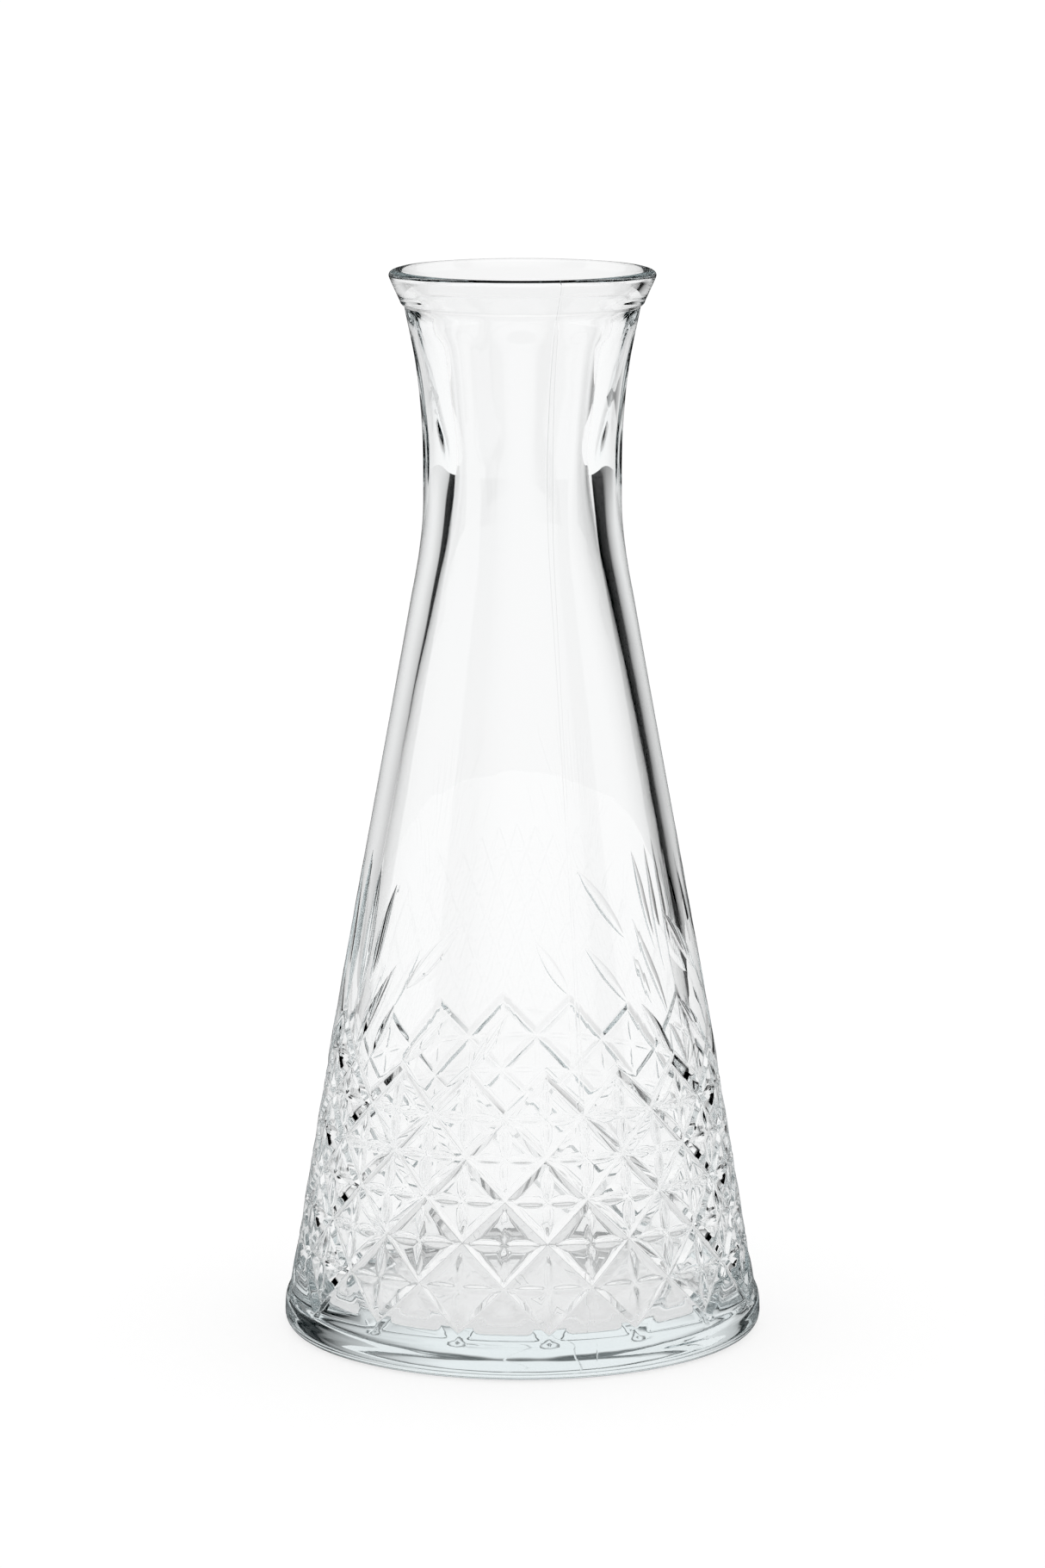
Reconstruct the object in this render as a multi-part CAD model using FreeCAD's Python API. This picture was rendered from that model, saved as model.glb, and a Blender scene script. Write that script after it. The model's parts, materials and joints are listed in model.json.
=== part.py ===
import FreeCAD, Part
import math
import os

# A one-litre open carafe pressed in one piece of clear glass.
# Millimetres, +Z up.  The origin is the centre of the ring that it stands on.
# The front faces -Y.  The middle of one fan of leaf cuts is turned FAN_TURN degrees from +X
# towards +Y, the other fan is opposite it, and the mould seams run up midway between them.
# Each node below is a zone of the one glass wall, and neighbours meet face to face.

# Driving dimensions
HEIGHT = 265.0
FOOT_RADIUS = 59.7
FOOT_WIDEST_Z = 4.6
FOOT_TOP_Z = 10.0
CONE_BASE_RADIUS = 58.4
WAIST_RADIUS = 24.5
WAIST_Z = 213.0
NECK_TOP_RADIUS = 29.0
NECK_TOP_Z = 256.0
COLLAR_STEP = 0.9
RIM_RADIUS = 32.9

# The hollow
FLOOR_Z = 8.2
FLOOR_DOME = 1.5
MOUTH_RADIUS = 28.9

# The ring that it stands on, round a shallow hollow under the base
REST_RING_OUTER = 57.4
REST_RING_INNER = 46.0
PUNT_DEPTH = 2.2

# Where the middle of the first fan is, in degrees from +X.  All cuts are placed from there.
FAN_TURN = 17.8

# The diamond lattice: straight bars that cross at right angles on the cone
DIAMONDS_AROUND = 16
LATTICE_ROWS = 7
FIRST_ROW_Z = 10.9
GROOVE_DEPTH = 1.5

# The fans of leaf cuts, each cut a V pointed at both ends.
# (angle of the foot from the fan's middle, z of the foot, angle of the tip, z of the tip, width)
LEAF_DEPTH = 1.0
MIDDLE_CUTS = [
    (0.0, 83.0, 0.0, 123.0, 4.2),
]
SIDE_CUTS = [
    (11.25, 73.5, 0.0, 82.6, 3.0),
    (9.5, 86.0, 10.5, 120.0, 3.8),
    (14.5, 91.0, 22.0, 117.0, 3.6),
    (11.25, 74.0, 27.5, 98.0, 3.8),
    (21.5, 75.5, 28.5, 88.0, 3.2),
    (33.75, 74.0, 50.0, 88.0, 3.8),
    (32.0, 92.0, 51.0, 109.0, 4.4),
    (56.25, 74.0, 68.0, 89.0, 3.6),
]
FAN_TOP_Z = 126.0

# The neck's soft upright panels.  One faces the middle of each fan, and a seam runs up an arris.
PANELS = 10
PANEL_DEPTH = 0.55
PANEL_BOTTOM_Z = 200.0
PANEL_TOP_Z = 254.5
PANEL_REACH = 14.0
SHOULDER_TOP_Z = 198.0

BEYOND = 90.0
AXIS = FreeCAD.Vector(0, 0, 1)
CENTRE = FreeCAD.Vector(0, 0, 0)


def section_point(radius, z):
    """A point of an upright section through the axis."""
    return FreeCAD.Vector(radius, 0, z)


def smooth_curve(stations):
    """A smooth curve in the section through (z, radius) stations."""
    curve = Part.BSplineCurve()
    curve.interpolate([section_point(radius, z) for z, radius in stations])
    return curve


# The outside from the top of the foot to the collar: a barely bowed cone, a waist and a flare.
OUTER_STATIONS = [
    (FOOT_TOP_Z, CONE_BASE_RADIUS),
    (50.0, 51.8),
    (92.0, 44.4),
    (135.0, 36.45),
    (182.0, 27.9),
    (196.0, 25.45),
    (204.0, 24.62),
    (WAIST_Z, WAIST_RADIUS),
    (226.0, 24.78),
    (240.0, 26.05),
    (NECK_TOP_Z, NECK_TOP_RADIUS),
]
OUTER_CURVE = smooth_curve(OUTER_STATIONS)

# The inside from the corner of the floor to the mouth.  The wall is thickest round the waist.
CORNER_RADIUS = 7.0
INNER_STATIONS = [
    (FLOOR_Z + CORNER_RADIUS, 51.6),
    (50.0, 46.9),
    (92.0, 40.0),
    (135.0, 31.9),
    (171.0, 24.6),
    (187.0, 21.0),
    (200.0, 18.4),
    (213.0, 17.4),
    (230.0, 19.0),
    (244.0, 21.3),
    (NECK_TOP_Z, 25.2),
    (HEIGHT - 2.0, MOUTH_RADIUS),
]


def outer_radius(z):
    """The outside radius of the plain wall at a height."""
    low = OUTER_CURVE.FirstParameter
    high = OUTER_CURVE.LastParameter
    for step in range(40):
        middle = (low + high) / 2
        if OUTER_CURVE.value(middle).z < z:
            low = middle
        else:
            high = middle
    return OUTER_CURVE.value(low).x


def around(angle):
    """The level direction out from the axis, at an angle in degrees from the first fan's middle."""
    turn = math.radians(angle + FAN_TURN)
    return FreeCAD.Vector(math.cos(turn), math.sin(turn), 0)


def wall_point(angle, z, proud=0.0):
    """A point on the plain wall, or proud of it."""
    return around(angle) * (outer_radius(z) + proud) + FreeCAD.Vector(0, 0, z)


def line(start, end):
    return Part.LineSegment(start, end).toShape()


def arc(start, middle, end):
    return Part.Arc(start, middle, end).toShape()


def revolved(edges):
    """The solid that a closed outline makes when it turns about the axis."""
    return Part.Face(Part.Wire(edges)).revolve(CENTRE, AXIS, 360)


def make_outside():
    """Everything inside the outer surface, as if the glass had no hollow."""
    bottom_centre = section_point(0, PUNT_DEPTH)
    punt_edge = section_point(REST_RING_INNER, 0)
    punt_middle = section_point(REST_RING_INNER * 0.6, PUNT_DEPTH * 0.72)
    ring_edge = section_point(REST_RING_OUTER, 0)
    heel = section_point(FOOT_RADIUS - 0.6, 1.5)
    widest = section_point(FOOT_RADIUS, FOOT_WIDEST_Z)
    foot_shoulder = section_point(FOOT_RADIUS - 0.35, 7.6)
    cone_start = section_point(CONE_BASE_RADIUS, FOOT_TOP_Z)
    neck_top = section_point(NECK_TOP_RADIUS, NECK_TOP_Z)
    collar = section_point(NECK_TOP_RADIUS + COLLAR_STEP, NECK_TOP_Z + 0.9)
    rim_edge = section_point(RIM_RADIUS - 0.1, HEIGHT - 1.6)
    rim_round = section_point(RIM_RADIUS - 0.35, HEIGHT - 0.5)
    rim_top = section_point(RIM_RADIUS - 1.5, HEIGHT)
    top_centre = section_point(0, HEIGHT)
    return revolved([
        arc(bottom_centre, punt_middle, punt_edge),
        line(punt_edge, ring_edge),
        arc(ring_edge, heel, widest),
        arc(widest, foot_shoulder, cone_start),
        OUTER_CURVE.toShape(),
        line(neck_top, collar),
        line(collar, rim_edge),
        arc(rim_edge, rim_round, rim_top),
        line(rim_top, top_centre),
        line(top_centre, bottom_centre),
    ])


def make_hollow():
    """The space inside the carafe, carried on above the rim."""
    curve = smooth_curve(INNER_STATIONS)
    side_radius = INNER_STATIONS[0][1]
    floor_centre = section_point(0, FLOOR_Z + FLOOR_DOME)
    floor_edge_radius = side_radius - CORNER_RADIUS
    floor_middle = section_point(floor_edge_radius * 0.55, FLOOR_Z + FLOOR_DOME * 0.7)
    floor_edge = section_point(floor_edge_radius, FLOOR_Z)
    bend = CORNER_RADIUS * (1 - math.sqrt(0.5))
    corner = section_point(side_radius - bend, FLOOR_Z + bend)
    side = section_point(side_radius, FLOOR_Z + CORNER_RADIUS)
    mouth = section_point(MOUTH_RADIUS, HEIGHT - 2.0)
    mouth_round = section_point(MOUTH_RADIUS + 0.55, HEIGHT - 0.6)
    mouth_edge = section_point(MOUTH_RADIUS + 1.7, HEIGHT)
    above_edge = section_point(MOUTH_RADIUS + 1.7, HEIGHT + 5.0)
    above_centre = section_point(0, HEIGHT + 5.0)
    return revolved([
        arc(floor_centre, floor_middle, floor_edge),
        arc(floor_edge, corner, side),
        curve.toShape(),
        arc(mouth, mouth_round, mouth_edge),
        line(mouth_edge, above_edge),
        line(above_edge, above_centre),
        line(above_centre, floor_centre),
    ])


def zone(outside, hollow, bottom_z, top_z):
    """The glass wall between two heights."""
    slab = Part.makeCylinder(BEYOND, top_z - bottom_z, section_point(0, bottom_z), AXIS)
    return outside.common(slab).cut(hollow)


def lattice_row_heights():
    """Rows spaced so that each diamond is square: half as high as it is wide, each step."""
    slope = (CONE_BASE_RADIUS - OUTER_STATIONS[4][1]) / (OUTER_STATIONS[4][0] - FOOT_TOP_Z)
    upright = math.cos(math.atan(slope))
    heights = [FIRST_ROW_Z]
    for row in range(LATTICE_ROWS - 1):
        half_width = outer_radius(heights[-1]) * math.pi / DIAMONDS_AROUND
        heights.append(heights[-1] + half_width * upright * (1 - slope * math.pi / DIAMONDS_AROUND / 2))
    return heights


def triangle(first, second, third):
    return Part.Face(Part.makePolygon([first, second, third, first]))


def make_diamond_outside(row_heights):
    """The faceted outside of the lattice, with a groove along each bar and a point in each diamond."""
    columns = 2 * DIAMONDS_AROUND
    step = 360.0 / columns
    rings = [[wall_point(column * step, FOOT_TOP_Z) for column in range(columns)]]
    for row, z in enumerate(row_heights):
        ring = []
        for column in range(columns):
            crossing = (row + column) % 2 == 1
            proud = -GROOVE_DEPTH if crossing else 0.0
            ring.append(wall_point(column * step, z, proud))
        rings.append(ring)
    faces = []
    for level in range(len(rings) - 1):
        lower = rings[level]
        upper = rings[level + 1]
        for column in range(columns):
            beside = (column + 1) % columns
            if (level + column) % 2 == 0:
                faces.append(triangle(lower[column], lower[beside], upper[beside]))
                faces.append(triangle(lower[column], upper[beside], upper[column]))
            else:
                faces.append(triangle(lower[column], lower[beside], upper[column]))
                faces.append(triangle(lower[beside], upper[beside], upper[column]))
    for ring in (rings[0], rings[-1]):
        faces.append(Part.Face(Part.makePolygon(ring + [ring[0]])))
    return Part.Solid(Part.Shell(faces))


def leaf_cutter(cut, fan_angle, side):
    """A spindle with four sides, laid on the wall so that it cuts a V pointed at both ends."""
    foot_angle, foot_z, tip_angle, tip_z, width = cut
    foot = wall_point(fan_angle + side * foot_angle, foot_z, 0.3)
    tip = wall_point(fan_angle + side * tip_angle, tip_z, 0.3)
    middle_angle = fan_angle + side * (foot_angle + tip_angle) / 2
    middle_z = (foot_z + tip_z) / 2
    middle = wall_point(middle_angle, middle_z)
    outward = around(middle_angle)
    along = (tip - foot).normalize()
    across = along.cross(outward).normalize()
    inward = across.cross(along).normalize()
    if inward.dot(outward) > 0:
        inward = inward * -1
    # The V is a little wider than its mark on the wall, because its edges stand proud
    half_width = width * 0.62
    corners = [
        middle + inward * LEAF_DEPTH,
        middle - inward * 0.5 + across * half_width,
        middle - inward * 3.0,
        middle - inward * 0.5 - across * half_width,
    ]
    faces = []
    for index in range(4):
        beside = (index + 1) % 4
        faces.append(triangle(foot, corners[index], corners[beside]))
        faces.append(triangle(tip, corners[beside], corners[index]))
    solid = Part.Solid(Part.Shell(faces))
    if solid.Volume < 0:
        solid.reverse()
    return solid


def make_leaf_cutters():
    cutters = []
    for fan_angle in (0.0, 180.0):
        for cut in MIDDLE_CUTS:
            cutters.append(leaf_cutter(cut, fan_angle, 1))
        for cut in SIDE_CUTS:
            for side in (1, -1):
                cutters.append(leaf_cutter(cut, fan_angle, side))
    return cutters


def make_panel_cutters():
    """Slabs that follow the flare and flatten the neck into soft upright panels."""
    stations = [(PANEL_BOTTOM_Z, outer_radius(PANEL_BOTTOM_Z) + 0.1)]
    for share in (0.25, 0.5, 0.75):
        z = PANEL_BOTTOM_Z + share * (PANEL_TOP_Z - PANEL_BOTTOM_Z)
        stations.append((z, outer_radius(z) - PANEL_DEPTH * math.sin(math.pi * share) ** 0.5))
    stations.append((PANEL_TOP_Z, outer_radius(PANEL_TOP_Z) + 0.1))
    inner_edge = smooth_curve(stations)
    low = section_point(stations[0][1], PANEL_BOTTOM_Z)
    high = section_point(stations[-1][1], PANEL_TOP_Z)
    low_out = section_point(BEYOND, PANEL_BOTTOM_Z)
    high_out = section_point(BEYOND, PANEL_TOP_Z)
    outline = Part.Wire([
        inner_edge.toShape(),
        line(high, high_out),
        line(high_out, low_out),
        line(low_out, low),
    ])
    face = Part.Face(outline)
    face.translate(FreeCAD.Vector(0, -PANEL_REACH, 0))
    slab = face.extrude(FreeCAD.Vector(0, 2 * PANEL_REACH, 0))
    cutters = []
    for panel in range(PANELS):
        turned = slab.copy()
        turned.rotate(CENTRE, AXIS, FAN_TURN + panel * 360.0 / PANELS)
        cutters.append(turned)
    return cutters


outside = make_outside()
hollow = make_hollow()
row_heights = lattice_row_heights()
lattice_top = row_heights[-1]

nodes = {
    "foot": zone(outside, hollow, -1.0, FOOT_TOP_Z),
    "diamond_wall": make_diamond_outside(row_heights).cut(hollow),
    "fan_wall": zone(outside, hollow, lattice_top, FAN_TOP_Z).cut(make_leaf_cutters()),
    "shoulder": zone(outside, hollow, FAN_TOP_Z, SHOULDER_TOP_Z),
    "neck": zone(outside, hollow, SHOULDER_TOP_Z, NECK_TOP_Z).cut(make_panel_cutters()),
    "lip": zone(outside, hollow, NECK_TOP_Z, HEIGHT + 1.0),
}

os.makedirs("parts", exist_ok=True)
for name, shape in nodes.items():
    shape.exportStep("parts/" + name + ".step")
    print(name, len(shape.Solids), "solid", round(shape.Volume / 1000, 1), "ml", shape.isValid())

filled = hollow.common(Part.makeCylinder(BEYOND, HEIGHT))
print("lattice rows", [round(z, 1) for z in row_heights])
print("holds to the brim", round(filled.Volume / 1000), "ml")
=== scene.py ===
import json
import math

import bpy
import numpy as np
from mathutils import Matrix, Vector

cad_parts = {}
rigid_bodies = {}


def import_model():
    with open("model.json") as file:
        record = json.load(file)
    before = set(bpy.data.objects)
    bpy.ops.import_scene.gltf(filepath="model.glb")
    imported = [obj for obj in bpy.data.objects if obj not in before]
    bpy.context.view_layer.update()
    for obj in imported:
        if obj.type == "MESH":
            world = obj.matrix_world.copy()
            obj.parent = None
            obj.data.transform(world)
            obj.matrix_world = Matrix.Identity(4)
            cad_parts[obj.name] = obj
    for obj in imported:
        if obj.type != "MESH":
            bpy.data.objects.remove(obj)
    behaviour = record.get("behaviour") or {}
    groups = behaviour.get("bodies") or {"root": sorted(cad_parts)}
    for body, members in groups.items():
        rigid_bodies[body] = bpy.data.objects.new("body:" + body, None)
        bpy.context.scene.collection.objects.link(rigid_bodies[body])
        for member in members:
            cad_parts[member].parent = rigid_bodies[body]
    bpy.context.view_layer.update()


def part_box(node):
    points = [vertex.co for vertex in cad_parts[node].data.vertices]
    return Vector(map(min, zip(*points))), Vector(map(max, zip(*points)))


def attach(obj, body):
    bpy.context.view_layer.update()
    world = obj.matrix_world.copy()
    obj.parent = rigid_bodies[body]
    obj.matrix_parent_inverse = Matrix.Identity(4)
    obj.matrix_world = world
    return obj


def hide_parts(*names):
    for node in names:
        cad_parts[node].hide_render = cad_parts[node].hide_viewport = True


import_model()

MM = 0.001

# Heights of the zones, read from the frame and turned into millimetres
FOOT_TOP_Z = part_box("foot")[1][2] / MM
FAN_TOP_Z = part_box("fan_wall")[1][2] / MM
NECK_TOP_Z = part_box("neck")[1][2] / MM
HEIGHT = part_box("lip")[1][2] / MM
FOOT_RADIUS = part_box("foot")[1][0] / MM

# The walls as (height, radius) in millimetres, the same stations as the CAD model
OUTER_STATIONS = [
    (FOOT_TOP_Z, 58.4),
    (50.0, 51.8),
    (92.0, 44.4),
    (135.0, 36.45),
    (182.0, 27.9),
    (196.0, 25.45),
    (204.0, 24.62),
    (213.0, 24.5),
    (226.0, 24.78),
    (240.0, 26.05),
    (NECK_TOP_Z, 29.0),
]
FLOOR_Z = 8.2
FLOOR_DOME = 1.5
CORNER_RADIUS = 7.0
MOUTH_RADIUS = 28.9
MOUTH_DEPTH = 2.0
INNER_STATIONS = [
    (FLOOR_Z + CORNER_RADIUS, 51.6),
    (50.0, 46.9),
    (92.0, 40.0),
    (135.0, 31.9),
    (171.0, 24.6),
    (187.0, 21.0),
    (200.0, 18.4),
    (213.0, 17.4),
    (230.0, 19.0),
    (244.0, 21.3),
    (NECK_TOP_Z, 25.2),
    (HEIGHT - MOUTH_DEPTH, MOUTH_RADIUS),
]
# How fast the foot widens below its top
FOOT_FLARE = 0.4
REST_RING_OUTER = 57.4
REST_RING_INNER = 46.0
PUNT_DEPTH = 2.2
# The step from the neck out to the lip, as (outwards, upwards) from the neck's top
COLLAR_STEP = [(0.12, 0.12), (0.5, 0.4), (0.82, 0.72), (0.98, 1.0), (1.15, 1.5)]
# The underside, from the resting ring in to the punt, as (radius, height, halve the points)
UNDERSIDE = [
    (REST_RING_OUTER - 0.8, 0.0, True),
    (REST_RING_INNER + 1.0, 0.0, False),
    (REST_RING_INNER - 0.4, 0.08, False),
    (REST_RING_INNER - 2.0, 0.35, False),
    (38.0, 1.0, False),
    (30.0, 1.5, True),
    (22.0, 1.8, False),
    (14.0, 2.05, True),
    (6.0, 2.18, True),
]
# The domed floor inside, as (share of its radius, halve the points)
FLOOR_RINGS = [
    (0.85, False),
    (0.7, False),
    (0.55, True),
    (0.4, False),
    (0.27, True),
    (0.15, True),
    (0.06, False),
]

# The rings just above the lattice's peaks, in rows above FAN_PEAK_ROW
FAN_STEPS = (0.03, 0.07, 0.12, 0.18)
# The rings just under the lattice's lowest tips, in rows
TIP_ROWS = (-0.03, -0.06, -0.09, -0.12, -0.16)
# How many rings each smooth stretch of wall has, with the one it starts from
FAN_RINGS = 17
CONE_RINGS = 24
NECK_RINGS = 44
INSIDE_RINGS = 72
# Over this height the cone's columns move from the lattice's spacing to an even one
EVEN_OUT_RISE = 40.0

# The diamond lattice.  Its grid runs along the two families of bars, so every bar, point and
# cross cut lies on edges of the mesh.  A diamond's side counts as 1.
DIAMONDS = 16
HALF_PITCH = math.pi / DIAMONDS
FIRST_ROW_Z = 10.9
TOP_ROW = 6
FAN_PEAK_ROW = 7
BAR_KNOTS = [0.0, 0.022, 0.095, 0.115]
PLAIN_KNOTS = 7
BAR_EDGE = 0.105
BAR_DEPTH = 1.25
POINT_FALL = 0.35
CROSS_DEPTH = 0.62
CROSS_HALF_WIDTH = 0.085
CROSS_REACH = 0.82

# Where the middle of the first fan is, in degrees from +X.  All cuts are placed from there.
FAN_TURN = 17.8

# The fans: one cut in the middle, and the others in mirrored pairs.
# (angle of the foot from the fan's middle, z of the foot, angle of the tip, z of the tip, width, depth)
# The cuts get shallower towards the mould seams.
FAN_ANGLES = (0.0, 180.0)
MIDDLE_CUTS = [
    (0.0, 83.0, 0.0, 123.0, 4.4, 1.3),
]
SIDE_CUTS = [
    (9.5, 86.0, 10.5, 120.0, 4.0, 1.2),
    (14.5, 91.0, 22.0, 117.0, 3.8, 1.0),
    (11.25, 74.0, 27.5, 98.0, 4.0, 1.0),
    (21.5, 75.5, 28.5, 88.0, 3.2, 0.75),
    (33.75, 74.0, 50.0, 88.0, 3.8, 0.65),
    (32.0, 92.0, 51.0, 109.0, 4.4, 0.7),
    (56.25, 74.0, 68.0, 89.0, 3.6, 0.55),
]
# How far the cutters' sides and tips stand above the wall, so that they cut it cleanly
LEAF_LIFT = 0.2
LEAF_TIP_LIFT = 0.04
LEAF_STATIONS = 14
LEAF_SECTION = 9
# Below 1, the first sets a leaf's widest place under its middle and the second blunts its ends
LEAF_LOW_BELLY = 0.85
LEAF_BLUNT_ENDS = 0.9

# The neck's soft upright panels
PANELS = 10
PANEL_DEPTH = 0.55
PANEL_BOTTOM_Z = 196.0
CONE_TOP_Z = PANEL_BOTTOM_Z - 2
PANEL_TOP_Z = 254.5
PANEL_RISE = 30.0
PANEL_END = 6.0
PANEL_SOFTNESS = 0.35


def smooth(stations, z):
    """The radius at heights z on a smooth curve through (height, radius) stations."""
    heights = np.array([station[0] for station in stations])
    radii = np.array([station[1] for station in stations])
    slopes = np.gradient(radii, heights)
    z = np.clip(z, heights[0], heights[-1])
    span = np.clip(np.searchsorted(heights, z) - 1, 0, len(heights) - 2)
    width = heights[span + 1] - heights[span]
    t = (z - heights[span]) / width
    return (
        (2 * t**3 - 3 * t**2 + 1) * radii[span]
        + (t**3 - 2 * t**2 + t) * width * slopes[span]
        + (3 * t**2 - 2 * t**3) * radii[span + 1]
        + (t**3 - t**2) * width * slopes[span + 1]
    )


# How far down the rows are counted, and how finely
LOWEST_ROW = -0.5
ROW_STEP = 0.01


def row_heights():
    """Height at each hundredth of a lattice row, so that every diamond is square on the cone."""
    foot_z, foot_radius = OUTER_STATIONS[0]
    waist_z, waist_radius = OUTER_STATIONS[4]
    slope = (foot_radius - waist_radius) / (waist_z - foot_z)
    upright = math.cos(math.atan(slope))
    rows = np.arange(LOWEST_ROW, FAN_PEAK_ROW + 0.6, ROW_STEP)
    step = ROW_STEP * HALF_PITCH * upright
    heights = np.zeros(len(rows))
    start = int(round(-LOWEST_ROW / ROW_STEP))
    heights[start] = FIRST_ROW_Z
    for index in range(start, len(rows) - 1):
        heights[index + 1] = heights[index] + step * smooth(OUTER_STATIONS, heights[index])
    for index in range(start, 0, -1):
        heights[index - 1] = heights[index] - step * foot_radius
    return rows, heights


ROWS, ROW_HEIGHTS = row_heights()


def row_to_z(row):
    return np.interp(row, ROWS, ROW_HEIGHTS)


def wrap_column(column):
    """A column counted from the nearest fan's middle, from -DIAMONDS / 2 to DIAMONDS / 2."""
    return (column + DIAMONDS / 2) % DIAMONDS - DIAMONDS / 2


def bar_exists(corner_u, corner_v, along_u):
    """Whether the bar from a lattice corner to the next one up, along u or along v, is cut."""
    low_row = corner_u + corner_v
    high_row = low_row + 1
    column = corner_u - corner_v + (2 if along_u else 0)
    near_fan = np.abs(wrap_column(column)) < 0.5
    return (low_row >= 0) & ((high_row <= TOP_ROW) | ((high_row == FAN_PEAK_ROW) & near_fan))


def bar_depth(u, v):
    """How deep the bars cut at lattice coordinates u, v, from 0 to 1 at the middle of a bar."""
    half = BAR_EDGE * BAR_DEPTH / (BAR_DEPTH - POINT_FALL * (1 - 2 * BAR_EDGE))
    deepest = np.zeros_like(u)
    for across, along, along_u in ((v, u, True), (u, v, False)):
        line = np.round(across)
        off = np.abs(across - line)
        segment = np.floor(along)
        for step in (-1, 0, 1):
            start = segment + step
            corners = (start, line) if along_u else (line, start)
            exists = bar_exists(corners[0], corners[1], along_u)
            past = np.maximum(0, np.maximum(start - along, along - start - 1))
            depth = np.where(exists, 1 - np.maximum(off, past) / half, 0)
            deepest = np.maximum(deepest, depth)
    return deepest


def diamond_depth(u, v):
    """The fall from each diamond's point to its bars, and the cross cut along its ridges."""
    cell_u = np.floor(u)
    cell_v = np.floor(v)
    bottom_row = cell_u + cell_v
    column = wrap_column(cell_u - cell_v + 1)
    top_row = np.where(np.abs(column) < 0.5, FAN_PEAK_ROW, TOP_ROW)
    inside = (bottom_row >= 0) & (bottom_row + 2 <= top_row)
    s = u - cell_u - 0.5
    t = v - cell_v - 0.5
    fall = POINT_FALL * 2 * np.maximum(np.abs(s), np.abs(t))
    cross = np.zeros_like(u)
    for along, across in ((s - t, s + t), (s + t, s - t)):
        share = np.clip(np.abs(along) / CROSS_REACH, 0, 1)
        half_width = CROSS_HALF_WIDTH * np.sqrt(np.clip(4 * share * (1 - share), 0, 1))
        cut = CROSS_DEPTH * (half_width - np.abs(across)) / CROSS_HALF_WIDTH
        cross = np.maximum(cross, cut)
    return np.where(inside, fall + cross, 0)


def lattice_depth(row, column):
    """Depth of the lattice in millimetres at a row and a column."""
    u = (row + column - 1) / 2
    v = (row - column + 1) / 2
    return np.maximum(BAR_DEPTH * bar_depth(u, v), diamond_depth(u, v))


def ease(share):
    """A smooth step from 0 to 1."""
    share = min(1.0, max(0.0, share))
    return share * share * (3 - 2 * share)


def panel_depth(angle, z):
    """How far the neck's panels are flattened, at an angle from the first fan's middle."""
    fade = ease((z - PANEL_BOTTOM_Z) / PANEL_RISE) * ease((PANEL_TOP_Z - z) / PANEL_END)
    pitch = 2 * math.pi / PANELS
    off = (angle / pitch + 0.5) % 1 - 0.5
    radius = smooth(OUTER_STATIONS, z)
    chord = PANEL_DEPTH * fade - radius * (1 / np.cos(off * pitch) - 1)
    # the arris between a panel and the round is soft
    return fade * (chord + np.sqrt(chord**2 + PANEL_SOFTNESS**2)) / 2


class Skin:
    """Points and faces of the glass, added ring by ring."""

    def __init__(self):
        self.points = []
        self.faces = []

    def ring(self, angles, radii, heights):
        """Adds a ring of points, at angles from the first fan's middle, and returns their numbers."""
        start = len(self.points)
        radii = np.broadcast_to(radii, angles.shape)
        heights = np.broadcast_to(heights, angles.shape)
        for angle, radius, z in zip(angles + math.radians(FAN_TURN), radii, heights):
            self.points.append((radius * math.cos(angle), radius * math.sin(angle), z))
        return list(range(start, len(self.points)))

    def join(self, first, second):
        """Joins two rings with the same count, or with half or twice the count."""
        if len(first) == len(second):
            count = len(first)
            for index in range(count):
                beside = (index + 1) % count
                self.faces.append((first[index], first[beside], second[beside], second[index]))
            return
        fine, coarse = (first, second) if len(first) > len(second) else (second, first)
        flip = len(first) < len(second)
        count = len(coarse)
        for index in range(count):
            beside = (index + 1) % count
            left = fine[2 * index]
            middle = fine[2 * index + 1]
            right = fine[(2 * index + 2) % len(fine)]
            for face in ((left, middle, coarse[index]), (middle, right, coarse[beside]),
                         (middle, coarse[beside], coarse[index])):
                self.faces.append(face[::-1] if flip else face)

    def close(self, ring, z):
        """Closes a ring with a fan to one point on the axis."""
        centre = len(self.points)
        self.points.append((0.0, 0.0, z))
        count = len(ring)
        for index in range(count):
            self.faces.append((ring[index], ring[(index + 1) % count], centre))


def knots():
    """Positions along a diamond's side, close together at the bars."""
    plain = np.linspace(BAR_KNOTS[-1], 0.5, PLAIN_KNOTS + 1)[1:]
    half = BAR_KNOTS + list(plain)
    return np.array(half + [1 - value for value in half[-2:0:-1]])


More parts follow.
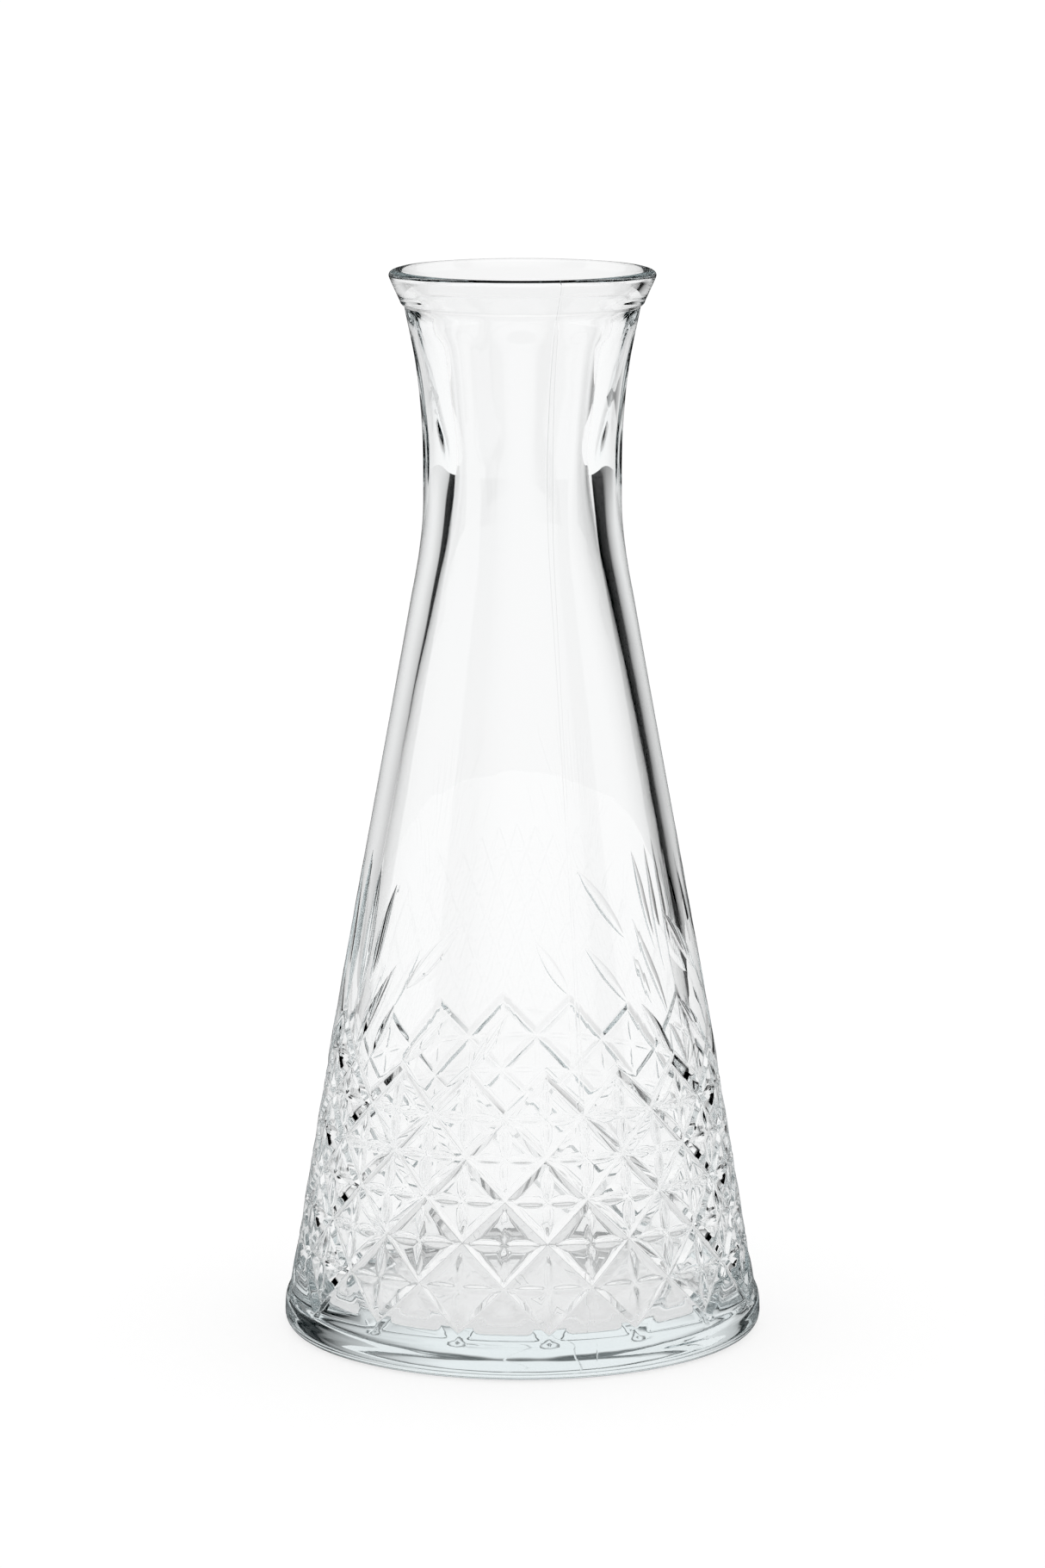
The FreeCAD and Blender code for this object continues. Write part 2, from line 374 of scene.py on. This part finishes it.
def lattice_patch(skin):
    """The lattice from row 0 to FAN_PEAK_ROW.  Returns its lowest and highest rings."""
    marks = knots()
    count = len(marks)
    steps_around = DIAMONDS * count
    rows_of_rings = {}

    def value(index):
        return index // count + marks[index % count]

    # A point has whole-number steps i along u and j along v.  i + j runs up, i - j runs round.
    low = 0
    high = FAN_PEAK_ROW * count
    for total in range(low, high + 1):
        first = total // 2
        ring_i = np.arange(first, first + steps_around)
        ring_j = total - ring_i
        u = np.array([value(i) for i in ring_i])
        v = np.array([value(j) for j in ring_j])
        row = u + v
        column = u - v + 1
        # the two sets of marks mirror each other, so a ring's row wanders a little inside a diamond
        z = row_to_z(row)
        radius = smooth(OUTER_STATIONS, z) - lattice_depth(row, column)
        ring = skin.ring(column * HALF_PITCH, radius, z)
        rows_of_rings[total] = {i: number for i, number in zip(ring_i, ring)}

    def point(i, j):
        total = i + j
        ring = rows_of_rings[total]
        first = total // 2
        return ring[first + (i - first) % steps_around]

    for total in range(low, high - 1):
        first = total // 2
        for i in range(first, first + steps_around):
            j = total - i
            corners = (point(i, j), point(i + 1, j), point(i + 1, j + 1), point(i, j + 1))
            s = (i % count) + 0.5 - count / 2
            t = (j % count) + 0.5 - count / 2
            if s * t > 0:
                skin.faces.append((corners[0], corners[1], corners[2]))
                skin.faces.append((corners[0], corners[2], corners[3]))
            else:
                skin.faces.append((corners[0], corners[1], corners[3]))
                skin.faces.append((corners[1], corners[2], corners[3]))
    # half cells along the lowest and the highest ring
    for i in range(steps_around):
        base = low // 2
        j = low - (base + i)
        skin.faces.append((point(base + i + 1, j - 1), point(base + i + 1, j), point(base + i, j)))
        base = high // 2
        j = high - (base + i)
        skin.faces.append((point(base + i, j), point(base + i, j - 1), point(base + i + 1, j - 1)))

    def ring_in_order(total):
        ring = rows_of_rings[total]
        return [ring[i] for i in sorted(ring)]

    lowest_i = np.array(sorted(rows_of_rings[low]))
    lowest_columns = np.array([value(i) - value(low - i) + 1 for i in lowest_i])
    highest_i = np.array(sorted(rows_of_rings[high]))
    highest_columns = np.array([value(i) - value(high - i) + 1 for i in highest_i])
    return ring_in_order(low), lowest_columns, ring_in_order(high), highest_columns


def rounded(centre_radius, centre_z, radius, start, end, steps):
    """Points of a round edge, as (radius, z), between two angles in degrees."""
    turns = np.radians(np.linspace(start, end, steps))
    return [
        (centre_radius + radius * math.cos(turn), centre_z + radius * math.sin(turn))
        for turn in turns
    ]


def three_point(start, middle, end, steps):
    """Points of a smooth bow through three (radius, z) points, without the first."""
    start, middle, end = np.array(start), np.array(middle), np.array(end)
    control = 2 * middle - (start + end) / 2
    shares = np.linspace(0, 1, steps + 1)[1:]
    return [tuple((1 - t) ** 2 * start + 2 * t * (1 - t) * control + t**2 * end) for t in shares]


def glass_skin():
    """The whole surface of the carafe: lattice, fan wall, cone, neck, lip, inside, foot."""
    skin = Skin()
    bottom_ring, bottom_columns, top_ring, top_columns = lattice_patch(skin)

    # Up the outside: the fan wall, on the lattice's own columns
    angles = top_columns * HALF_PITCH
    ring = top_ring
    for step in FAN_STEPS:
        row = FAN_PEAK_ROW + step
        z = row_to_z(row)
        radius = smooth(OUTER_STATIONS, z) - lattice_depth(np.full(angles.shape, row), top_columns)
        above = skin.ring(angles, radius, z)
        skin.join(ring, above)
        ring = above
    for z in np.linspace(row_to_z(row), FAN_TOP_Z, FAN_RINGS)[1:]:
        above = skin.ring(angles, smooth(OUTER_STATIONS, z), z)
        skin.join(ring, above)
        ring = above

    # The cone, with half as many columns that even out as they rise
    coarse = angles[::2]
    even = coarse[0] + np.arange(len(coarse)) * 2 * math.pi / len(coarse)
    for z in np.linspace(FAN_TOP_Z, CONE_TOP_Z, CONE_RINGS)[1:]:
        share = min(1.0, (z - FAN_TOP_Z) / EVEN_OUT_RISE)
        turned = coarse * (1 - share) + even * share
        above = skin.ring(turned, smooth(OUTER_STATIONS, z), z)
        skin.join(ring, above)
        ring = above

    # The panelled neck
    for z in np.linspace(CONE_TOP_Z, NECK_TOP_Z, NECK_RINGS)[1:]:
        radius = smooth(OUTER_STATIONS, np.full(even.shape, z)) - panel_depth(even, z)
        above = skin.ring(even, radius, z)
        skin.join(ring, above)
        ring = above

    # The collar step, the lip's outside and the round rim
    neck_top = OUTER_STATIONS[-1][1]
    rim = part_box("lip")[1][0] / MM
    outline = [(neck_top + out, NECK_TOP_Z + up) for out, up in COLLAR_STEP]
    shoulder = (rim - 0.18, HEIGHT - MOUTH_DEPTH)
    crest = (rim - 1.7, HEIGHT)
    inner_crest = (rim - 2.3, HEIGHT - 0.02)
    mouth = (MOUTH_RADIUS, HEIGHT - MOUTH_DEPTH)
    outline += three_point(outline[-1], (rim - 1.35, HEIGHT - 4.6), shoulder, 6)
    outline += three_point(shoulder, (rim - 0.2, HEIGHT - 0.75), crest, 7)
    outline += [inner_crest]
    outline += three_point(inner_crest, (MOUTH_RADIUS + 0.5, HEIGHT - 0.7), mouth, 6)
    for radius, z in outline:
        above = skin.ring(even, radius, z)
        skin.join(ring, above)
        ring = above

    # Down the inside to the rounded corner of the floor
    for z in np.linspace(HEIGHT - MOUTH_DEPTH, FLOOR_Z + CORNER_RADIUS, INSIDE_RINGS)[1:]:
        below = skin.ring(even, smooth(INNER_STATIONS, z), z)
        skin.join(ring, below)
        ring = below
    side = INNER_STATIONS[0][1]
    corner = rounded(side - CORNER_RADIUS, FLOOR_Z + CORNER_RADIUS, CORNER_RADIUS, 0, -90, 10)
    for radius, z in corner[1:]:
        below = skin.ring(even, radius, z)
        skin.join(ring, below)
        ring = below
    floor_edge = side - CORNER_RADIUS
    inner_angles = even
    for share, halve in FLOOR_RINGS:
        if halve:
            inner_angles = inner_angles[::2]
        z = FLOOR_Z + FLOOR_DOME * (1 - share**2)
        below = skin.ring(inner_angles, floor_edge * share, z)
        skin.join(ring, below)
        ring = below
    skin.close(ring, FLOOR_Z + FLOOR_DOME)

    # Down the outside of the foot, which the tips of the lattice run into
    angles = bottom_columns * HALF_PITCH
    ring = bottom_ring
    for row in TIP_ROWS:
        z = row_to_z(row)
        radius = smooth(OUTER_STATIONS, z) - lattice_depth(np.full(angles.shape, row), bottom_columns)
        radius = radius + max(0.0, FOOT_TOP_Z - z) * FOOT_FLARE
        below = skin.ring(angles, radius, z)
        skin.join(below, ring)
        ring = below
    start = (OUTER_STATIONS[0][1] + max(0.0, FOOT_TOP_Z - z) * FOOT_FLARE, z)
    outline = three_point(start, (FOOT_RADIUS - 0.28, 7.2), (FOOT_RADIUS - 0.06, 4.6), 6)
    outline += three_point(outline[-1], (FOOT_RADIUS - 0.45, 1.5), (REST_RING_OUTER, 0.0), 8)
    for radius, z in outline:
        below = skin.ring(angles, radius, z)
        skin.join(below, ring)
        ring = below
    base_angles = angles
    for radius, z, halve in UNDERSIDE:
        if halve:
            base_angles = base_angles[::2]
        below = skin.ring(base_angles, radius, z)
        skin.join(below, ring)
        ring = below
    skin.close(ring[::-1], PUNT_DEPTH)
    return skin


def make_mesh(name, points, faces):
    mesh = bpy.data.meshes.new(name)
    mesh.from_pydata([Vector(point) * MM for point in points], [], faces)
    mesh.update()
    piece = bpy.data.objects.new(name, mesh)
    bpy.context.scene.collection.objects.link(piece)
    return piece


# The wall's slope is measured over this many millimetres up and down
SLOPE_STEP = 0.5


def wall_frame(angle, z):
    """A point on the plain wall in millimetres, with its outward normal."""
    radius = float(smooth(OUTER_STATIONS, z))
    above = smooth(OUTER_STATIONS, z + SLOPE_STEP)
    below = smooth(OUTER_STATIONS, z - SLOPE_STEP)
    slope = float(above - below) / (2 * SLOPE_STEP)
    turn = math.radians(angle + FAN_TURN)
    around = Vector((math.cos(turn), math.sin(turn), 0))
    point = around * radius + Vector((0, 0, z))
    normal = (around - Vector((0, 0, slope))).normalized()
    return point, normal


def leaf_cutter(cut, fan_angle, side, number):
    """A bar with a round belly, laid along the wall, that leaves a leaf pointed at both ends."""
    foot_angle, foot_z, tip_angle, tip_z, width, depth = cut
    centres = []
    for index in range(LEAF_STATIONS + 1):
        share = index / LEAF_STATIONS
        angle = fan_angle + side * (foot_angle + share * (tip_angle - foot_angle))
        z = foot_z + share * (tip_z - foot_z)
        centres.append(wall_frame(angle, z))
    points = []
    for index in range(LEAF_STATIONS + 1):
        before = centres[max(0, index - 1)][0]
        after = centres[min(LEAF_STATIONS, index + 1)][0]
        point, normal = centres[index]
        along = (after - before).normalized()
        across = along.cross(normal).normalized()
        share = index / LEAF_STATIONS
        if index in (0, LEAF_STATIONS):
            points.append(point + normal * LEAF_TIP_LIFT)
            continue
        fullness = math.sin(math.pi * share ** LEAF_LOW_BELLY) ** LEAF_BLUNT_ENDS
        # the belly is a parabola that carries on above the wall
        half = width / 2 * fullness
        reach = half * math.sqrt(1 + LEAF_LIFT / (depth * fullness))
        for step in range(LEAF_SECTION):
            off = reach * (2 * step / (LEAF_SECTION - 1) - 1)
            sink = depth * fullness * (1 - (off / half) ** 2)
            points.append(point - normal * sink - across * off)
    # every face looks out of the cutter
    faces = []
    last = len(points) - 1
    for corner in range(LEAF_SECTION):
        beside = (corner + 1) % LEAF_SECTION
        faces.append((0, 1 + beside, 1 + corner))
        faces.append((last, last - LEAF_SECTION + corner, last - LEAF_SECTION + beside))
        for index in range(LEAF_STATIONS - 2):
            base = 1 + LEAF_SECTION * index
            above = base + LEAF_SECTION
            faces.append((base + beside, above + beside, above + corner, base + corner))
    return make_mesh("leaf_cutter_%02d" % number, points, faces)


def cut_leaves(piece):
    """Cuts the fans out of the glass.  Returns the material that marks the faces of the cuts."""
    cutters = bpy.data.collections.new("leaf_cutters")
    bpy.context.scene.collection.children.link(cutters)
    number = 0
    marker = bpy.data.materials.new("cut_face")
    for fan_angle in FAN_ANGLES:
        todo = [(cut, 1) for cut in MIDDLE_CUTS]
        for cut in SIDE_CUTS:
            todo += [(cut, 1), (cut, -1)]
        for cut, side in todo:
            cutter = leaf_cutter(cut, fan_angle, side, number)
            number += 1
            bpy.context.scene.collection.objects.unlink(cutter)
            cutters.objects.link(cutter)
            cutter.data.materials.append(marker)
    boolean = piece.modifiers.new("leaves", "BOOLEAN")
    boolean.operation = "DIFFERENCE"
    boolean.operand_type = "COLLECTION"
    boolean.collection = cutters
    boolean.solver = "MANIFOLD"
    boolean.material_mode = "TRANSFER"
    graph = bpy.context.evaluated_depsgraph_get()
    cut_mesh = bpy.data.meshes.new_from_object(piece.evaluated_get(graph))
    piece.modifiers.clear()
    piece.data = cut_mesh
    for cutter in list(cutters.objects):
        bpy.data.objects.remove(cutter)
    bpy.data.collections.remove(cutters)
    return marker


# The mould seams, in millimetres
SEAM_HALF_WIDTH = 0.22
SEAM_HEIGHT = 0.05


def seam_ridge(nodes, links, place):
    """Height of the mould seams' hairline ridge, 1 on the seams and 0 elsewhere and inside."""
    turn = math.radians(FAN_TURN)
    across = nodes.new("ShaderNodeVectorMath")
    across.operation = "DOT_PRODUCT"
    across.inputs[1].default_value = (math.cos(turn), math.sin(turn), 0)
    links.new(place.outputs["Object"], across.inputs[0])
    distance = nodes.new("ShaderNodeMath")
    distance.operation = "ABSOLUTE"
    links.new(across.outputs["Value"], distance.inputs[0])
    ridge = nodes.new("ShaderNodeMapRange")
    ridge.interpolation_type = "SMOOTHSTEP"
    ridge.inputs["From Max"].default_value = SEAM_HALF_WIDTH * MM
    ridge.inputs["To Min"].default_value = 1.0
    ridge.inputs["To Max"].default_value = 0.0
    links.new(distance.outputs["Value"], ridge.inputs["Value"])
    # outside the wall the surface faces away from the axis, inside it faces the axis
    level = nodes.new("ShaderNodeVectorMath")
    level.operation = "MULTIPLY"
    level.inputs[1].default_value = (1, 1, 0)
    links.new(place.outputs["Object"], level.inputs[0])
    facing = nodes.new("ShaderNodeVectorMath")
    facing.operation = "DOT_PRODUCT"
    links.new(level.outputs["Vector"], facing.inputs[0])
    links.new(place.outputs["Normal"], facing.inputs[1])
    outside = nodes.new("ShaderNodeMath")
    outside.operation = "GREATER_THAN"
    outside.inputs[1].default_value = 0.0
    links.new(facing.outputs["Value"], outside.inputs[0])
    height = nodes.new("ShaderNodeMath")
    height.operation = "MULTIPLY"
    links.new(ridge.outputs["Result"], height.inputs[0])
    links.new(outside.outputs["Value"], height.inputs[1])
    return height.outputs["Value"]


# The glass.  The ripples' height is in millimetres, and the noise scales count features in a metre.
GLASS_IOR = 1.51
TINT = (0.74, 0.84, 0.86, 1.0)
TINT_DENSITY = 5.5
RIPPLE_SCALE = 55.0
RIPPLE_HEIGHT = 1.2
RIPPLE_STRENGTH = 0.06
POLISH_SCALE = 130.0
GREATEST_ROUGHNESS = 0.018


def make_glass():
    """Clear pressed glass: faint ripples and seams from the mould, a cold tint where it is thick."""
    material = bpy.data.materials.new("clear_glass")
    material.use_nodes = True
    tree = material.node_tree
    nodes = tree.nodes
    links = tree.links
    shader = nodes["Principled BSDF"]
    shader.inputs["Transmission Weight"].default_value = 1.0
    shader.inputs["IOR"].default_value = GLASS_IOR
    shader.inputs["Base Color"].default_value = (1.0, 1.0, 1.0, 1.0)

    place = nodes.new("ShaderNodeTexCoord")
    ripple = nodes.new("ShaderNodeTexNoise")
    ripple.inputs["Scale"].default_value = RIPPLE_SCALE
    ripple.inputs["Detail"].default_value = 1.5
    links.new(place.outputs["Object"], ripple.inputs["Vector"])
    bump = nodes.new("ShaderNodeBump")
    bump.inputs["Strength"].default_value = RIPPLE_STRENGTH
    bump.inputs["Distance"].default_value = RIPPLE_HEIGHT * MM
    links.new(ripple.outputs["Fac"], bump.inputs["Height"])
    seam = nodes.new("ShaderNodeBump")
    seam.inputs["Strength"].default_value = 1.0
    seam.inputs["Distance"].default_value = SEAM_HEIGHT * MM
    links.new(seam_ridge(nodes, links, place), seam.inputs["Height"])
    links.new(bump.outputs["Normal"], seam.inputs["Normal"])
    links.new(seam.outputs["Normal"], shader.inputs["Normal"])

    polish = nodes.new("ShaderNodeTexNoise")
    polish.inputs["Scale"].default_value = POLISH_SCALE
    polish.inputs["Detail"].default_value = 3.0
    links.new(place.outputs["Object"], polish.inputs["Vector"])
    roughness = nodes.new("ShaderNodeMapRange")
    roughness.inputs["To Min"].default_value = 0.0
    roughness.inputs["To Max"].default_value = GREATEST_ROUGHNESS
    links.new(polish.outputs["Fac"], roughness.inputs["Value"])
    links.new(roughness.outputs["Result"], shader.inputs["Roughness"])

    tint = nodes.new("ShaderNodeVolumeAbsorption")
    tint.inputs["Color"].default_value = TINT
    tint.inputs["Density"].default_value = TINT_DENSITY
    links.new(tint.outputs["Volume"], nodes["Material Output"].inputs["Volume"])
    return material


def make_carafe():
    skin = glass_skin()
    piece = make_mesh("carafe_glass", skin.points, skin.faces)
    piece.data.materials.append(bpy.data.materials.new("wall_face"))
    marker = cut_leaves(piece)
    return piece, marker


# Inside a leaf cut, edges that turn by more degrees than this are crisp, like the cut's outline
SHARP_TURN = 25


def finish_mesh(piece, glass):
    """Smooth faces, crisp edges round each leaf cut, one material."""
    mesh = piece.data
    for polygon in mesh.polygons:
        polygon.use_smooth = True
    index = [polygon.material_index for polygon in mesh.polygons]
    edge_faces = {}
    for polygon in mesh.polygons:
        for key in polygon.edge_keys:
            edge_faces.setdefault(key, []).append(polygon.index)
    sharp_angle = math.radians(SHARP_TURN)
    for edge in mesh.edges:
        faces = edge_faces.get(edge.key, [])
        if len(faces) != 2:
            continue
        first, second = faces
        if index[first] != index[second]:
            edge.use_edge_sharp = True
        elif index[first] > 0:
            turn = mesh.polygons[first].normal.angle(mesh.polygons[second].normal, 0.0)
            edge.use_edge_sharp = turn > sharp_angle
    mesh.materials.clear()
    mesh.materials.append(glass)
    for polygon in mesh.polygons:
        polygon.material_index = 0


# Camera: a long lens, a little above the carafe
CAMERA_DISTANCE = 1.492
CAMERA_HEIGHT = 0.3985
CAMERA_PITCH = 9.94
FOCAL_PIXELS = 7080.0
IMAGE_LONG_SIDE = 1821.0
SENSOR = 36.0


def make_camera():
    data = bpy.data.cameras.new("camera")
    camera = bpy.data.objects.new("camera", data)
    bpy.context.scene.collection.objects.link(camera)
    camera.location = (0, -CAMERA_DISTANCE, CAMERA_HEIGHT)
    camera.rotation_euler = (math.radians(90 - CAMERA_PITCH), 0, 0)
    data.sensor_width = SENSOR
    data.lens = FOCAL_PIXELS / IMAGE_LONG_SIDE * SENSOR
    data.clip_start = 0.1
    data.clip_end = 50
    bpy.context.scene.camera = camera


def matte(name, colour):
    material = bpy.data.materials.new(name)
    material.use_nodes = True
    shader = material.node_tree.nodes["Principled BSDF"]
    shader.inputs["Base Color"].default_value = (*colour, 1)
    shader.inputs["Roughness"].default_value = 0.9
    shader.inputs["Specular IOR Level"].default_value = 0.0
    return material


# A light table: a pale sheet that also glows, in metres
FLOOR_HALF_SIZE = 8.0
FLOOR_DROP = 0.0002
FLOOR_WHITE = 0.3
FLOOR_GLOW = 0.73


def make_floor():
    half = FLOOR_HALF_SIZE / MM
    corners = [(-half, -half, 0), (half, -half, 0), (half, half, 0), (-half, half, 0)]
    floor = make_mesh("floor", corners, [(0, 1, 2, 3)])
    floor.location.z = -FLOOR_DROP
    white = matte("floor_white", (FLOOR_WHITE, FLOOR_WHITE, FLOOR_WHITE))
    shader = white.node_tree.nodes["Principled BSDF"]
    shader.inputs["Emission Color"].default_value = (1, 1, 1, 1)
    shader.inputs["Emission Strength"].default_value = FLOOR_GLOW
    floor.data.materials.append(white)
    floor.visible_glossy = False


# The light tent round the glass, in metres and degrees, seen only through the glass.  Its wall is
# white in the middle and falls off to a black board on each side, and the boards draw the glass's
# dark lines.  Its front half repeats its back half.
TENT_RADIUS = 0.88
TENT_HEIGHT = 0.9
TENT_COLUMNS = 480
# (degrees clockwise from the middle of a half, brightness)
TENT_WALL = [(-90, 1.0), (-68, 0.9), (-66, 0.0), (-50.5, 0.0), (-48.5, 0.55), (-45, 0.66), (-38, 0.8),
             (-30, 0.95), (-22, 1.0), (10, 1.0), (15, 0.92), (20, 0.8), (25, 0.68), (30, 0.52), (35, 0.33),
             (38, 0.12), (39.5, 0.0), (60, 0.0), (62, 0.9), (90, 1.0)]
BOARD_TOP = 0.6
CEILING_SHADE = 0.3
TENT_BOTTOM = 0.001
TENT_ROWS = 20

# The dark room beyond, which only mirror reflections see
ROOM_RADIUS = 2.4
ROOM_HEIGHT = 2.0
ROOM_BOTTOM = -0.002
ROOM_SHADE = 0.05
ROOM_STEPS = 48


def glow(name):
    """A light-giving surface, as bright as its points' own shade."""
    material = bpy.data.materials.new(name)
    material.use_nodes = True
    nodes = material.node_tree.nodes
    nodes.clear()
    shade = nodes.new("ShaderNodeAttribute")
    shade.attribute_name = "shade"
    light = nodes.new("ShaderNodeEmission")
    output = nodes.new("ShaderNodeOutputMaterial")
    material.node_tree.links.new(shade.outputs["Fac"], light.inputs["Color"])
    material.node_tree.links.new(light.outputs["Emission"], output.inputs["Surface"])
    material.cycles.emission_sampling = "NONE"
    return material


def add_shade(piece, shades):
    attribute = piece.data.attributes.new("shade", "FLOAT", "POINT")
    attribute.data.foreach_set("value", shades)


def seen_by_glass(piece, mirrored, refracted):
    """Hides a surface from the camera and the floor, and from one kind of ray in the glass."""
    piece.visible_camera = False
    piece.visible_diffuse = False
    piece.visible_shadow = False
    piece.visible_glossy = mirrored
    piece.visible_transmission = refracted


def between(table, value):
    """The brightness at an angle, from a table of (angle, brightness)."""
    return float(np.interp(value, [entry[0] for entry in table], [entry[1] for entry in table]))


def tent_shade(angle, height):
    """How bright the tent is at an angle clockwise from +Y, with the height in metres."""
    off = (angle + 90) % 180 - 90
    shade = between(TENT_WALL, off)
    above = max(0.0, (height - BOARD_TOP) / (TENT_HEIGHT - BOARD_TOP))
    return shade * (1 - above) + CEILING_SHADE * above


def make_tent():
    heights = np.linspace(TENT_BOTTOM, TENT_HEIGHT, TENT_ROWS)
    points = []
    shades = []
    for height in heights:
        for column in range(TENT_COLUMNS):
            angle = column * 360.0 / TENT_COLUMNS
            turn = math.radians(angle)
            x = TENT_RADIUS * math.sin(turn) / MM
            y = TENT_RADIUS * math.cos(turn) / MM
            points.append((x, y, height / MM))
            shades.append(tent_shade(angle, height))
    faces = []
    for row in range(TENT_ROWS - 1):
        for column in range(TENT_COLUMNS):
            beside = (column + 1) % TENT_COLUMNS
            base = row * TENT_COLUMNS
            above = base + TENT_COLUMNS
            faces.append((base + column, base + beside, above + beside, above + column))
    faces.append(tuple(range(len(points) - TENT_COLUMNS, len(points))))
    tent = make_mesh("light_tent", points, faces)
    add_shade(tent, shades)
    tent.data.materials.append(glow("tent_white"))
    seen_by_glass(tent, mirrored=False, refracted=True)


def make_room():
    """A dark drum with a dark floor and ceiling."""
    points = []
    for index in range(ROOM_STEPS):
        turn = 2 * math.pi * index / ROOM_STEPS
        x = ROOM_RADIUS * math.cos(turn) / MM
        y = ROOM_RADIUS * math.sin(turn) / MM
        points += [(x, y, ROOM_BOTTOM / MM), (x, y, ROOM_HEIGHT / MM)]
    faces = []
    for index in range(ROOM_STEPS):
        low = 2 * index
        next_low = (low + 2) % (2 * ROOM_STEPS)
        faces.append((low, next_low, next_low + 1, low + 1))
    faces.append(tuple(range(1, 2 * ROOM_STEPS, 2)))
    faces.append(tuple(range(0, 2 * ROOM_STEPS, 2)))
    room = make_mesh("dark_room", points, faces)
    add_shade(room, [ROOM_SHADE] * len(points))
    room.data.materials.append(glow("room_grey"))
    seen_by_glass(room, mirrored=True, refracted=False)


def make_light():
    world = bpy.data.worlds.new("studio")
    bpy.context.scene.world = world
    world.use_nodes = True
    background = world.node_tree.nodes["Background"]
    background.inputs["Color"].default_value = (1, 1, 1, 1)
    background.inputs["Strength"].default_value = 1.0
    make_tent()
    make_room()


# The picture's blacks are pulled down a little
BLACK_LEVEL = 0.025
# Enough bounces for a ray to leave the lattice again
GLASS_BOUNCES = 32
MIRROR_BOUNCES = 16

make_camera()
make_floor()
make_light()
scene = bpy.context.scene
scene.view_settings.view_transform = "Standard"
scene.view_settings.use_curve_mapping = True
scene.view_settings.curve_mapping.black_level = (BLACK_LEVEL, BLACK_LEVEL, BLACK_LEVEL)
scene.view_settings.curve_mapping.update()
scene.cycles.max_bounces = GLASS_BOUNCES
scene.cycles.transmission_bounces = GLASS_BOUNCES
scene.cycles.glossy_bounces = MIRROR_BOUNCES

glass = make_glass()
carafe, marker = make_carafe()
finish_mesh(carafe, glass)
bpy.data.materials.remove(marker)
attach(carafe, "root")
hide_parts("foot", "diamond_wall", "fan_wall", "shoulder", "neck", "lip")
